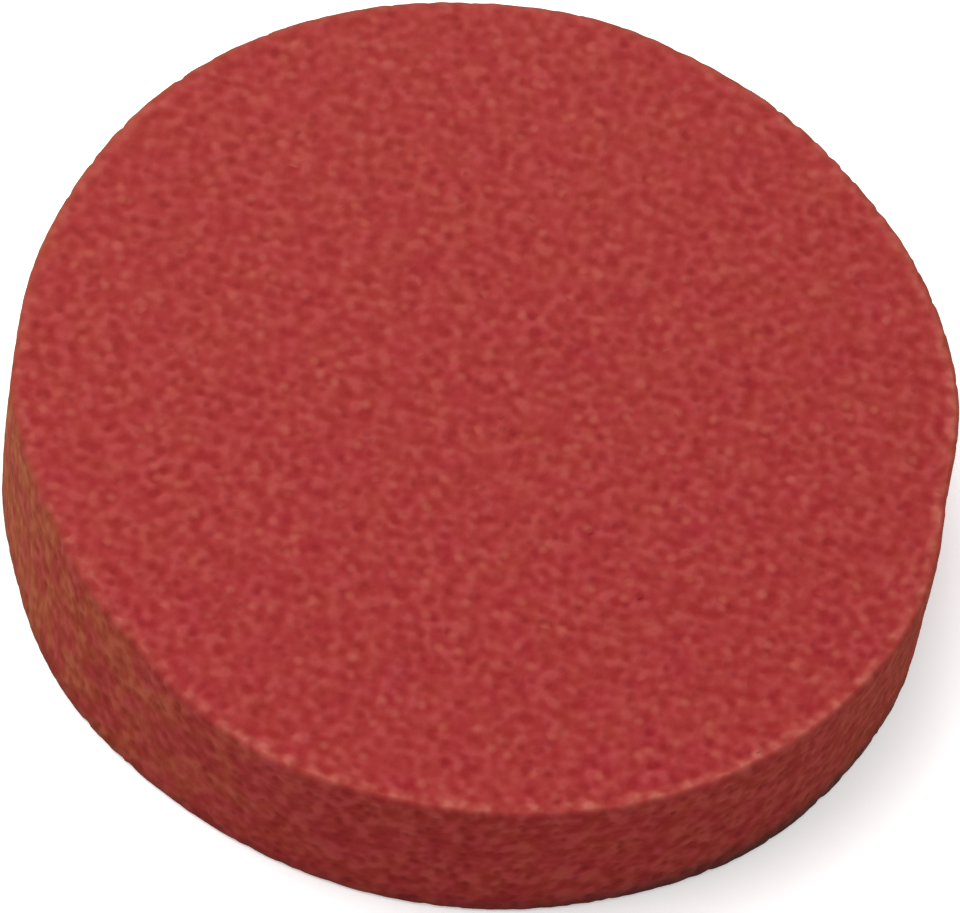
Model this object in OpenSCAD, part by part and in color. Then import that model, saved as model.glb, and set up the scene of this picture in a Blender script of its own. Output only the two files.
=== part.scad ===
// Friction disc for opening screw-back watch cases.
//
// A round pad, cut in one piece from a sheet of fine-celled sponge rubber. The user presses one
// face onto the back of a watch case, leans on it and turns: the soft rubber grips the steel and
// unscrews the back without a key. Both faces are flat, the wall is straight, and the cut
// has left each rim very slightly rounded.
//
// Millimetres. The disc stands on Z = 0 with its axis on Z, and the working face is uppermost.

/* [Disc] */
// Diameter of the disc
disc_d = 50; // [30:0.5:80]
// Thickness of the sheet that the disc is cut from
disc_t = 10; // [4:0.5:20]

/* [Rims] */
// Radius of the rounding around the working face
working_rim_r = 0.3; // [0.1:0.05:1.5]
// Radius of the rounding around the resting face
resting_rim_r = 0.3; // [0.1:0.05:1.5]

/* [Hidden] */
sponge_red = "#aa3e3b";
disc_r = disc_d / 2;
wall_h = disc_t - working_rim_r - resting_rim_r;
$fn = 180;

// One rim of the half section: a flat band from the axis out to a quarter round,
// which lies on the wall side of the band.
module rim_band(rim_r) {
    square([disc_r - rim_r, rim_r]);
    translate([disc_r - rim_r, 0])
        intersection() {
            circle(r = rim_r);
            square(rim_r);
        }
}

// Half of the disc's section, with the axis at X = 0.
module disc_section() {
    translate([0, resting_rim_r])
        square([disc_r, wall_h]);
    translate([0, disc_t - working_rim_r])
        rim_band(working_rim_r);
    translate([0, resting_rim_r])
        mirror([0, 1])
            rim_band(resting_rim_r);
}

module friction_disc() {
    color(sponge_red)
        rotate_extrude()
            disc_section();
}

friction_disc();
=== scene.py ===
"""Looks of a friction disc for opening screw-back watch cases.

The disc is one piece of red sponge rubber, cut from sheet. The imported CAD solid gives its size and
its place. This script replaces that plain solid with a mesh that has the sponge's own surface:
lumps and cut cells on both faces, lower ones on the wall, a torn rim, and a hand-cut outline that
isn't quite round. Lengths are in metres, unless a name ends in _MM.
"""

import math

import bpy
import numpy as np
from mathutils import Euler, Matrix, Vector


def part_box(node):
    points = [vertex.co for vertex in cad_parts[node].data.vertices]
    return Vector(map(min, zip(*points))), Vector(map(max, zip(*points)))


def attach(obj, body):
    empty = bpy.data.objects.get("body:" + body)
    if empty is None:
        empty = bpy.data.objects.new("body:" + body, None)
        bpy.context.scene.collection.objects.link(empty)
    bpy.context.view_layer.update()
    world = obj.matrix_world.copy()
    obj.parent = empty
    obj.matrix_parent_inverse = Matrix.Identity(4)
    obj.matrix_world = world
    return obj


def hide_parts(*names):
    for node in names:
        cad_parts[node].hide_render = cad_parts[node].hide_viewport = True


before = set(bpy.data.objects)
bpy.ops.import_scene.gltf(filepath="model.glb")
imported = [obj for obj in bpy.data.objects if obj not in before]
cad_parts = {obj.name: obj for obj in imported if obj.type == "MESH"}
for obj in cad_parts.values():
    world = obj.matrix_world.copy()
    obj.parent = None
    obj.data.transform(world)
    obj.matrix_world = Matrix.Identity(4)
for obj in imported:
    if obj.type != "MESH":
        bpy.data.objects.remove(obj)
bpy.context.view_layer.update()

NODE = "friction_disc"
MM = 0.001

# The disc, from its CAD solid
LOW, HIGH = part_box(NODE)
RADIUS = (HIGH.x - LOW.x) / 2
BASE = LOW.z
TOP = HIGH.z
THICKNESS = TOP - BASE
FACE_CENTRE = Vector(((LOW.x + HIGH.x) / 2, (LOW.y + HIGH.y) / 2, TOP))

# Mesh
WORKING_RIM = 0.3 * MM      # rounding around the working face
RESTING_RIM = 0.3 * MM      # rounding around the resting face
FACE_CELLS = 176            # quads across a face; the wall has four times as many around
RIM_ROWS = 4                # rows of quads on each rounding
WALL_ROWS = 36              # rows of quads on the straight part of the wall
TORN_INSET = 1.4 * WORKING_RIM   # the middle of the torn rim lies this far in from the wall
RIM_WIDTH = 0.21 * MM       # how far the torn rim reaches on either side of its middle
EDGE_WIDTH = 0.30 * MM      # how far the painted sheen along the outer edge of the rim reaches
FOOT_SHADOW_WIDTH = 0.75 * MM      # how far the painted shadow at the foot reaches up and in

# Outline, as shares of the radius
OVAL = 0.0077               # how much longer and shorter than round the outline is
OVAL_LONG_AXIS = math.radians(147)
# Where the hand cut strayed: its place and its half width in degrees, and how far out it went at the
# working rim and at the foot
STRAYS = [
    (-173, 9, -0.006, -0.012), (-167, 7, 0.011, 0.0), (-156, 11, -0.006, -0.008), (-148, 5, -0.006, 0.0),
    (-138, 14, -0.014, 0.012), (-128, 5, -0.006, 0.0), (-107, 12, 0.013, 0.0), (-63, 20, 0.0, -0.004),
    (-43, 12, 0.001, 0.008), (-27, 12, 0.004, 0.0), (1, 10, -0.025, -0.020), (48, 9, -0.006, -0.006),
    (87, 9, 0.008, 0.006), (163, 14, -0.008, -0.005),
]

# Grain of the sponge, the same in its shape and in its colour
UPRIGHT = 0.85              # lumps are as wide as this share of their height
LAYERS = (11, 12, 13, 15)   # lumps through the thickness; whole numbers keep broad clouds off the faces
GRAIN_GAIN = 1.75           # gives back the contrast that averaging the layers takes away
GRIT_PER_M = 3000
PITS_PER_M = 1550
NODULES_PER_M = 1100
TEARS_PER_M = 1500
PATCHES_PER_M = 650
TEAR_RANGE = (0.42, 0.62)   # the noise at which the rim is least and most torn
LEAST_TEAR = 0.3
SPOT_CORE = 0.1             # a spot is full up to this share of its reach

# Each noise has a shift of its own, so that no two follow each other. The grain's layers have 1 to 4.
SHIFT_STEP = (0.0713, 0.0391)    # how far apart noises are read whose shifts are one apart
GRIT_SHIFT, PITS_SHIFT, NODULES_SHIFT, TEARS_SHIFT, PATCHES_SHIFT = 5, 6, 7, 8, 9

# Relief of the surface
FACE_RELIEF = 0.16 * MM
WALL_RELIEF = 0.07 * MM
RIM_RELIEF = 0.14 * MM
FACE_PIT = 0.08 * MM
WALL_PIT = 0.07 * MM
BUMP = 0.12 * MM            # depth of the bump, which sharpens the lumps and adds the grit
BUMP_GRAIN = 0.5            # how much grain the bump has for one of grit

# Colours as they show on the working face, from 0 to 255
CRIMSON = [(0.30, (159, 42, 49)), (0.50, (170, 53.5, 58)), (0.70, (181, 68, 72))]
BROWN_RED = [(0.30, (159, 49, 45)), (0.50, (170, 61, 56)), (0.70, (182, 76, 70))]
# pale line of the torn rim: partly the torn cells' own paler colour, partly painted highlight
TORN_PINK_AND_HIGHLIGHT = [(0.35, (188, 84, 74)), (0.65, (216, 128, 108))]
# painted shade in the cut cells
PIT_SHADE_RED = (132, 26, 38)
# pale spots of the grain, and the painted light on the side towards the lamp
PALE_RED = (196, 100, 84)
# painted shadow along the foot of the wall
FOOT_SHADOW_PLUM = (44, 34, 38)
# painted grazing sheen along the outer edge of the rim
EDGE_SHEEN_BROWN = (158, 88, 64)
# Tints that multiply a colour
# the wall darker than the face: partly the cut wall's own colour, partly painted shade
WALL_TINT_AND_SHADE = (0.745, 0.595, 0.65, 1.0)
# painted warm sheen on the wall's side towards the lamp
WALL_SHEEN_TINT = (1.05, 1.8, 1.1, 1.0)
SHEEN_TINT = (0.65, 1.0, 0.39, 1.0)

# Where around the disc each change of colour is strongest
# painted light: the face and wall are paler on this side, towards the lamp
PAINTED_LIGHT_SIDE = math.radians(120)
WALL_SHEEN_SIDE = math.radians(170)    # of the painted warm sheen on the wall
SHADED_SIDE = math.radians(-41)     # of the painted shadow at the foot
TORN_HIGHLIGHT_SIDE = math.radians(-50)       # of the torn rim's pale line, which is partly painted highlight
EDGE_SHEEN_SIDE = math.radians(90)        # of the painted sheen along the outer edge

# How strong each part of the colour is. A pair is for the two places named beside it.
GRIT_SHARE = 0.12           # of the tone; the rest is grain
CONTRAST = (1.0, 1.25)      # face, wall
PATCH_CONTRAST = (1.4, 4.2)     # face, wall
PIT_SHADE_SHARE = (0.35, 0.5)     # face, wall; painted shade in the cut cells
NODULE_SHARE = (0.45, 0.1)  # face, wall
PAINTED_LIGHT_SHARE = (0.045, 0.09)      # axis, side of the painted light
EDGE_SHEEN_SHARE = (0.4, 0.7)     # axis, side of the painted sheen
TORN_HIGHLIGHT_SHARE = (0.45, 0.75)   # axis, torn side; the pale line there is partly painted highlight
FOOT_SHADOW_SHARE = (0.35, 0.85)   # away from the shaded side, at it; of the painted shadow at the foot
FOOT_SHADOW_POWER = (1.0, 0.3)     # the same; below 1 the painted shadow reaches higher
SHADE_POWER = 4.0           # the higher, the closer the painted shadow keeps to its side
ROUGHNESS = (0.97, 0.85)    # darkest tone, lightest tone

# View: a long lens looking down at the working face
VIEW_ELEVATION = math.radians(57.9)
VIEW_ROLL = math.radians(12.3)
VIEW_DISTANCE = 30 * RADIUS
VIEW_WIDTH = 2.006 * RADIUS      # width of the picture at the working face
AIM_RIGHT = -0.0205 * RADIUS
AIM_UP = -0.115 * RADIUS
SENSOR_WIDTH_MM = 36

# Light: one big soft lamp and the room around it. A level of 1 shows a white floor as white.
LAMP_AZIMUTH = math.radians(160)
LAMP_ELEVATION = math.radians(60)
LAMP_DISTANCE = 14 * RADIUS
LAMP_SPREAD = math.radians(30)   # half of the angle that the lamp covers, seen from the disc
LAMP_LEVEL = 0.70
ROOM_LEVEL = 0.80
BACKDROP_LEVEL = 1.1
EXPOSURE = LAMP_LEVEL + ROOM_LEVEL

# Floor: a white table, lit from below
FLOOR_HALF_WIDTH = 60 * RADIUS
FLOOR_COLOUR = (0.96, 0.96, 0.96, 1.0)
TABLE_GLOW = 0.25           # keeps the shadow faint
WHITE = (1.0, 1.0, 1.0, 1.0)


# Nodes, for the material and for the relief alike

def lit(red, green, blue):
    """The linear colour that shows on the working face as this screen colour, given from 0 to 255."""
    def linear(value):
        """The sRGB curve turned back, and the light on the face taken out."""
        share = value / 255
        return (share / 12.92 if share <= 0.04045 else ((share + 0.055) / 1.055) ** 2.4) / EXPOSURE
    return (linear(red), linear(green), linear(blue), 1.0)


def add(tree, kind, sockets=None, **settings):
    """A new node in tree. sockets maps an input's name or number to a value or to what feeds it."""
    new = tree.nodes.new(kind)
    for name, value in settings.items():
        setattr(new, name, value)
    for name, value in (sockets or {}).items():
        if isinstance(value, bpy.types.NodeSocket):
            tree.links.new(value, new.inputs[name])
        else:
            new.inputs[name].default_value = value
    return new


def maths(tree, operation, first, second=0.0, third=0.0):
    return add(tree, "ShaderNodeMath", {0: first, 1: second, 2: third}, operation=operation).outputs[0]


def part(tree, value, share):
    return maths(tree, "MULTIPLY", value, share)


def between(tree, factor, low, high):
    """low where factor is 0 and high where it is 1."""
    return maths(tree, "MULTIPLY_ADD", factor, high - low, low)


def clamped(tree, value):
    return add(tree, "ShaderNodeClamp", {"Value": value}).outputs[0]


def vector_maths(tree, operation, first, second, third=(0, 0, 0)):
    return add(tree, "ShaderNodeVectorMath", {0: first, 1: second, 2: third}, operation=operation)


def place(tree, where, shift):
    """Where to look noise up. Upright lengths shrink, and each shift leads to another part of the noise."""
    away = (SHIFT_STEP[0] * shift, SHIFT_STEP[1] * shift, 0)
    return vector_maths(tree, "MULTIPLY_ADD", where, (1, 1, UPRIGHT), away).outputs[0]


def noise(tree, where, per_m, shift, detail=0.0):
    """Smooth noise around 0.5 with per_m lumps to a metre. It is the same in every kind of tree."""
    sockets = {"Vector": place(tree, where, shift), "Scale": per_m, "Detail": detail}
    return add(tree, "ShaderNodeTexNoise", sockets).outputs[0]


def grain(tree, where):
    """The sponge's lumps, around 0.5."""
    total = None
    for shift, layers in enumerate(LAYERS, 1):
        layer = noise(tree, where, layers / (UPRIGHT * THICKNESS), shift)
        total = layer if total is None else maths(tree, "ADD", total, layer)
    return maths(tree, "MULTIPLY_ADD", total, GRAIN_GAIN / len(LAYERS), (1 - GRAIN_GAIN) / 2)


def spots(tree, where, per_m, shift, share, reach):
    """Round spots, 1 in their middle and 0 from their reach on. share of the places for a spot have one."""
    sockets = {"Vector": place(tree, where, shift), "Scale": per_m, "Randomness": 1.0}
    cells = add(tree, "ShaderNodeTexVoronoi", sockets)
    sockets = {"Value": cells.outputs["Distance"], "From Min": reach, "From Max": SPOT_CORE * reach}
    near = add(tree, "ShaderNodeMapRange", sockets, interpolation_type="SMOOTHSTEP").outputs[0]
    chosen = maths(tree, "LESS_THAN", cells.outputs["Color"], share)
    return part(tree, near, chosen)


def pits(tree, where):
    return spots(tree, where, PITS_PER_M, PITS_SHIFT, share=0.6, reach=0.55)


def nodules(tree, where):
    return spots(tree, where, NODULES_PER_M, NODULES_SHIFT, share=0.4, reach=0.45)


def tears(tree, where):
    """How far the torn rim stands out, up to 1, in short runs."""
    least, most = TEAR_RANGE
    sockets = {"Value": noise(tree, where, TEARS_PER_M, TEARS_SHIFT),
               "From Min": least, "From Max": most, "To Min": LEAST_TEAR}
    return add(tree, "ShaderNodeMapRange", sockets).outputs[0]


# Mesh of the disc

def outline(angle, share_up):
    """The outline's radius at an angle, as a share of the CAD radius.

    share_up is 0 at the foot and 1 at the working face.
    """
    radius = 1 + OVAL * np.cos(2 * (angle - OVAL_LONG_AXIS))
    for middle, half_width, at_rim, at_foot in STRAYS:
        turn = (np.degrees(angle) - middle + 180) % 360 - 180
        radius += (at_foot + (at_rim - at_foot) * share_up) * np.exp(-((turn / half_width) ** 2))
    return radius


def face_grid():
    """Unit-disc places of a square grid of points, row by row. Each square ring becomes a circle."""
    line = np.linspace(-1, 1, FACE_CELLS + 1)
    across, along = np.meshgrid(line, line)
    wide = np.abs(across) > np.abs(along)
    reach = np.where(wide, across, along)
    other = np.where(wide, along, across)
    turn = math.pi / 4 * np.divide(other, reach, out=np.zeros_like(reach), where=reach != 0)
    angle = np.where(wide, turn, math.pi / 2 - turn)
    return np.stack([reach * np.cos(angle), reach * np.sin(angle)], -1).reshape(-1, 2)


def grid_numbers(first=0):
    """The numbers of a face grid's points, of which the first has this number."""
    side = FACE_CELLS + 1
    return first + np.arange(side * side).reshape(side, side)


def edge_loop():
    """Numbers of the grid's border points, once around against the clock."""
    number = grid_numbers()
    return np.concatenate([number[0, :-1], number[:-1, -1], number[-1, :0:-1], number[:0:-1, 0]])


def grid_faces(first):
    """Quads of a face grid whose first point has this number, wound against the clock."""
    number = grid_numbers(first)
    quads = [number[:-1, :-1], number[:-1, 1:], number[1:, 1:], number[1:, :-1]]
    return np.stack(quads, -1).reshape(-1, 4)


def wall_profile():
    """Radius, height and share of wall of each ring between the two faces, from the top down."""
    rings = []
    for step in range(1, RIM_ROWS + 1):
        turn = math.pi / 2 * step / RIM_ROWS
        rings.append((RADIUS - WORKING_RIM * (1 - math.sin(turn)),
                      TOP - WORKING_RIM * (1 - math.cos(turn)), step / RIM_ROWS))
    upper, lower = TOP - WORKING_RIM, BASE + RESTING_RIM
    for step in range(1, WALL_ROWS + 1):
        rings.append((RADIUS, upper + (lower - upper) * step / WALL_ROWS, 1.0))
    for step in range(1, RIM_ROWS):
        turn = math.pi / 2 * step / RIM_ROWS
        rings.append((RADIUS - RESTING_RIM * (1 - math.cos(turn)),
                      BASE + RESTING_RIM * (1 - math.sin(turn)), 1 - step / RIM_ROWS))
    return rings


def band_shares(points):
    """How much of the torn rim, of the outer edge with its painted sheen and of the foot with its painted
    shadow is at each point, from 0 to 1.
    """
    from_axis = np.hypot(points[:, 0], points[:, 1])
    bands = {"rim": (RADIUS - TORN_INSET, TOP, RIM_WIDTH),
             "edge": (RADIUS, TOP, EDGE_WIDTH),
             "foot": (RADIUS, BASE, FOOT_SHADOW_WIDTH)}
    return {name: np.exp(-((np.hypot(from_axis - radius, points[:, 2] - height) / width) ** 2))
            for name, (radius, height, width) in bands.items()}


def disc_mesh():
    """The closed mesh of the disc before its relief, with each point's share of wall, rim, edge and foot."""
    grid = face_grid()
    loop = edge_loop()
    rings = wall_profile()

    def level(places, radius, height):
        return np.column_stack([places * radius, np.full(len(places), height)])

    parts = [level(grid, RADIUS - WORKING_RIM, TOP), level(grid, RADIUS - RESTING_RIM, BASE)]
    rim_angle = np.arctan2(grid[loop, 1], grid[loop, 0])
    circle = np.column_stack([np.cos(rim_angle), np.sin(rim_angle)])
    parts += [level(circle, radius, height) for radius, height, _ in rings]
    points = np.concatenate(parts)
    wall = np.concatenate([np.zeros(2 * len(grid))] + [np.full(len(loop), ring[2]) for ring in rings])
    shares = {"wall": wall, **band_shares(points)}

    share_up = (points[:, 2] - BASE) / THICKNESS
    points[:, :2] *= outline(np.arctan2(points[:, 1], points[:, 0]), share_up)[:, None]
    points[:, :2] += FACE_CENTRE.xy

    resting_face = grid_faces(len(grid))[:, ::-1]
    quads = [grid_faces(0), resting_face]
    levels = [loop]
    levels += [2 * len(grid) + row * len(loop) + np.arange(len(loop)) for row in range(len(rings))]
    levels += [len(grid) + loop]
    for above, below in zip(levels, levels[1:]):
        quads.append(np.column_stack([above, below, np.roll(below, -1), np.roll(above, -1)]))

    mesh = bpy.data.meshes.new("sponge_disc")
    mesh.from_pydata(points.tolist(), [], np.concatenate(quads).tolist())
    for name, values in shares.items():
        mesh.attributes.new(name, "FLOAT", "POINT").data.foreach_set("value", values.astype(np.float32))
    mesh.shade_smooth()
    return mesh


def relief_tree():
    """Geometry nodes that move each point along its normal by the lumps, the pits and the torn rim."""
    tree = bpy.data.node_groups.new("relief", "GeometryNodeTree")
    tree.interface.new_socket("Geometry", in_out="INPUT", socket_type="NodeSocketGeometry")
    tree.interface.new_socket("Geometry", in_out="OUTPUT", socket_type="NodeSocketGeometry")
    start = tree.nodes.new("NodeGroupInput")
    end = tree.nodes.new("NodeGroupOutput")
    where = tree.nodes.new("GeometryNodeInputPosition").outputs[0]
    normal = tree.nodes.new("GeometryNodeInputNormal").outputs[0]

    def share(name):
        return add(tree, "GeometryNodeInputNamedAttribute", {"Name": name}, data_type="FLOAT").outputs[0]

    lumps = maths(tree, "SUBTRACT", grain(tree, where), 0.5)
    height = part(tree, lumps, between(tree, share("wall"), FACE_RELIEF, WALL_RELIEF))
    depth = part(tree, pits(tree, where), between(tree, share("wall"), FACE_PIT, WALL_PIT))
    height = maths(tree, "SUBTRACT", height, depth)
    torn = maths(tree, "SUBTRACT", tears(tree, where), 0.5)
    height = maths(tree, "MULTIPLY_ADD", part(tree, torn, RIM_RELIEF), share("rim"), height)
    moved = vector_maths(tree, "MULTIPLY_ADD", normal, height, where).outputs[0]
    lowest = (-1, -1, BASE)     # far off to the sides, so that it only keeps points above the floor
    raised = vector_maths(tree, "MAXIMUM", moved, lowest).outputs[0]
    placed = add(tree, "GeometryNodeSetPosition", {"Geometry": start.outputs[0], "Position": raised})
    tree.links.new(placed.outputs[0], end.inputs[0])
    return tree


def raise_relief(piece):
    """Presses the relief into the mesh itself, and leaves no modifier."""
    tree = relief_tree()
    piece.modifiers.new("relief", "NODES").node_group = tree
    solved = piece.evaluated_get(bpy.context.evaluated_depsgraph_get())
    plain = piece.data
    piece.data = bpy.data.meshes.new_from_object(solved)
    piece.modifiers.clear()
    bpy.data.meshes.remove(plain)
    bpy.data.node_groups.remove(tree)


# Material

def ramp(tree, factor, stops):
    new = add(tree, "ShaderNodeValToRGB", {0: factor})
    elements = new.color_ramp.elements
    while len(elements) < len(stops):
        elements.new(0.5)
    for element, (position, colour) in zip(elements, stops):
        element.position = position
        element.color = lit(*colour)
    return new.outputs["Color"]


def blend(tree, factor, first, second, how="MIX"):
    sockets = {0: factor, 6: first, 7: second}
    return add(tree, "ShaderNodeMix", sockets, data_type="RGBA", blend_type=how).outputs[2]


def share_of(tree, name):
    """The mesh's share of this name at each point."""
    return add(tree, "ShaderNodeAttribute", attribute_name=name).outputs["Fac"]


def towards(tree, where, side):
    """1 at the outline on this side of the disc, 0 on the axis and -1 at the other side."""
    along = (math.cos(side) / RADIUS, math.sin(side) / RADIUS, 0)
    return vector_maths(tree, "DOT_PRODUCT", where, along).outputs["Value"]


def sponge_tone(tree, where, wall, grit):
    """How light each place of the sponge is, around 0.5."""
    tone = maths(tree, "MULTIPLY_ADD", grit, GRIT_SHARE, part(tree, grain(tree, where), 1 - GRIT_SHARE))
    tone = maths(tree, "SUBTRACT", tone, 0.5)
    return maths(tree, "MULTIPLY_ADD", tone, between(tree, wall, *CONTRAST), 0.5)


def sponge_colour(tree, where, wall, tone):
    """Crimson and brown-red patches, painted shade in the pits, a wall darker than the face (partly its own
    colour, partly painted shade), a painted warm sheen on the wall and painted light on the side towards the
    lamp, and nodules.
    """
    patches = maths(tree, "SUBTRACT", noise(tree, where, PATCHES_PER_M, PATCHES_SHIFT), 0.5)
    patches = maths(tree, "MULTIPLY_ADD", patches, between(tree, wall, *PATCH_CONTRAST), 0.5)
    patches = clamped(tree, patches)
    colour = blend(tree, patches, ramp(tree, tone, CRIMSON), ramp(tree, tone, BROWN_RED))
    # painted shade in the cut cells
    pit_shade = part(tree, pits(tree, where), between(tree, wall, *PIT_SHADE_SHARE))
    colour = blend(tree, pit_shade, colour, lit(*PIT_SHADE_RED))
    # the wall darker than the face: partly its own colour, partly painted shade
    colour = blend(tree, wall, colour, WALL_TINT_AND_SHADE, "MULTIPLY")
    # painted warm sheen: the wall is browner on its side towards the lamp, in patches
    wall_sheen = part(tree, towards(tree, where, WALL_SHEEN_SIDE), maths(tree, "ADD", patches, 0.5))
    wall_sheen = clamped(tree, part(tree, wall_sheen, wall))
    colour = blend(tree, wall_sheen, colour, WALL_SHEEN_TINT, "MULTIPLY")
    # painted light: paler towards the lamp's side
    painted_light = between(tree, towards(tree, where, PAINTED_LIGHT_SIDE), *PAINTED_LIGHT_SHARE)
    colour = blend(tree, painted_light, colour, lit(*PALE_RED))
    knobbly = part(tree, nodules(tree, where), between(tree, wall, *NODULE_SHARE))
    return blend(tree, knobbly, colour, lit(*PALE_RED))


def bordered(tree, where, tone, colour):
    """The colour with the painted shadow at the wall's foot, the painted sheen along the outer edge, and the
    pale torn line around the face, which is partly painted highlight.
    """
    # painted shadow along the foot, darkest on the side away from the lamp
    shaded = clamped(tree, towards(tree, where, SHADED_SIDE))
    shaded = maths(tree, "POWER", shaded, SHADE_POWER)
    foot = maths(tree, "POWER", share_of(tree, "foot"), between(tree, shaded, *FOOT_SHADOW_POWER))
    foot = part(tree, foot, between(tree, shaded, *FOOT_SHADOW_SHARE))
    colour = blend(tree, foot, colour, lit(*FOOT_SHADOW_PLUM))
    # painted sheen: the outer edge is browner, most on the far side
    edge_sheen = between(tree, towards(tree, where, EDGE_SHEEN_SIDE), *EDGE_SHEEN_SHARE)
    colour = blend(tree, part(tree, share_of(tree, "edge"), edge_sheen), colour, lit(*EDGE_SHEEN_BROWN))
    # pale torn line around the face: partly the torn cells' own colour, partly painted highlight, strongest
    # on one side
    torn = part(tree, tears(tree, where), share_of(tree, "rim"))
    torn = part(tree, torn, between(tree, towards(tree, where, TORN_HIGHLIGHT_SIDE), *TORN_HIGHLIGHT_SHARE))
    return blend(tree, torn, colour, ramp(tree, tone, TORN_PINK_AND_HIGHLIGHT))


def sponge_material():
    material = bpy.data.materials.new("sponge_rubber")
    material.use_nodes = True
    tree = material.node_tree
    tree.nodes.clear()
    where = tree.nodes.new("ShaderNodeTexCoord").outputs["Object"]
    wall = share_of(tree, "wall")
    grit = noise(tree, where, GRIT_PER_M, GRIT_SHIFT, detail=1.0)
    tone = sponge_tone(tree, where, wall, grit)
    colour = bordered(tree, where, tone, sponge_colour(tree, where, wall, tone))
    height = maths(tree, "MULTIPLY_ADD", grain(tree, where), BUMP_GRAIN, grit)
    bump = add(tree, "ShaderNodeBump", {"Strength": 0.5, "Distance": BUMP, "Height": height})
    rough = add(tree, "ShaderNodeMapRange", {"Value": tone, "To Min": ROUGHNESS[0], "To Max": ROUGHNESS[1]})
    surface = add(tree, "ShaderNodeBsdfPrincipled", {
        "Base Color": colour, "Roughness": rough.outputs[0], "Normal": bump.outputs[0],
        "Specular IOR Level": 0.0, "Sheen Weight": 0.05, "Sheen Roughness": 0.45,
        "Sheen Tint": SHEEN_TINT})
    output = tree.nodes.new("ShaderNodeOutputMaterial")
    tree.links.new(surface.outputs[0], output.inputs["Surface"])
    return material


def make_disc():
    piece = bpy.data.objects.new("sponge_disc", disc_mesh())
    bpy.context.scene.collection.objects.link(piece)
    raise_relief(piece)
    piece.data.materials.clear()
    piece.data.materials.append(sponge_material())
    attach(piece, "root")
    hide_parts(NODE)


# Stage

def make_floor():
    half = FLOOR_HALF_WIDTH
    mesh = bpy.data.meshes.new("floor")
    corners = [(-half, -half, BASE), (half, -half, BASE), (half, half, BASE), (-half, half, BASE)]
    mesh.from_pydata(corners, [], [(0, 1, 2, 3)])
    floor = bpy.data.objects.new("floor", mesh)
    bpy.context.scene.collection.objects.link(floor)
    material = bpy.data.materials.new("floor")
    material.use_nodes = True
    surface = material.node_tree.nodes["Principled BSDF"]
    surface.inputs["Base Color"].default_value = FLOOR_COLOUR
    surface.inputs["Roughness"].default_value = 0.9
    surface.inputs["Specular IOR Level"].default_value = 0.0
    surface.inputs["Emission Color"].default_value = WHITE
    surface.inputs["Emission Strength"].default_value = TABLE_GLOW
    mesh.materials.append(material)


def make_lamp():
    light = bpy.data.lights.new("lamp", "AREA")
    light.shape = "DISK"
    light.size = 2 * LAMP_DISTANCE * math.tan(LAMP_SPREAD)
    area = math.pi * (light.size / 2) ** 2
    # A level face gets this share of the light that a whole sky as bright as the lamp would give it
    caught = math.sin(LAMP_SPREAD) ** 2 * math.sin(LAMP_ELEVATION)
    light.energy = LAMP_LEVEL * math.pi * area / caught
    lamp = bpy.data.objects.new("lamp", light)
    aside = LAMP_DISTANCE * math.cos(LAMP_ELEVATION)
    lamp.location = FACE_CENTRE + Vector((aside * math.cos(LAMP_AZIMUTH), aside * math.sin(LAMP_AZIMUTH),
                                          LAMP_DISTANCE * math.sin(LAMP_ELEVATION)))
    lamp.rotation_euler = Euler((math.pi / 2 - LAMP_ELEVATION, 0, LAMP_AZIMUTH + math.pi / 2))
    bpy.context.scene.collection.objects.link(lamp)


def make_room():
    """Even light from all round, and a white backdrop that only the camera sees."""
    world = bpy.data.worlds.new("studio")
    bpy.context.scene.world = world
    world.use_nodes = True
    tree = world.node_tree
    tree.nodes.clear()
    seen = tree.nodes.new("ShaderNodeLightPath").outputs["Is Camera Ray"]
    room = add(tree, "ShaderNodeBackground", {"Color": WHITE, "Strength": ROOM_LEVEL}).outputs[0]
    backdrop = add(tree, "ShaderNodeBackground", {"Color": WHITE, "Strength": BACKDROP_LEVEL}).outputs[0]
    both = add(tree, "ShaderNodeMixShader", {0: seen, 1: room, 2: backdrop})
    output = tree.nodes.new("ShaderNodeOutputWorld")
    tree.links.new(both.outputs[0], output.inputs["Surface"])


def make_camera():
    lens = bpy.data.cameras.new("camera")
    lens.sensor_width = SENSOR_WIDTH_MM
    lens.lens = SENSOR_WIDTH_MM * VIEW_DISTANCE / VIEW_WIDTH
    lens.clip_start = VIEW_DISTANCE / 10
    lens.clip_end = VIEW_DISTANCE * 10
    camera = bpy.data.objects.new("camera", lens)
    level = Euler((math.pi / 2 - VIEW_ELEVATION, 0, 0)).to_matrix()
    turned = level @ Euler((0, 0, VIEW_ROLL)).to_matrix()
    right, up, back = turned.col
    camera.rotation_euler = turned.to_euler()
    camera.location = FACE_CENTRE + right * AIM_RIGHT + up * AIM_UP + back * VIEW_DISTANCE
    bpy.context.scene.collection.objects.link(camera)
    bpy.context.scene.camera = camera


bpy.context.scene.view_settings.view_transform = "Standard"
make_camera()
make_lamp()
make_room()
make_floor()
make_disc()
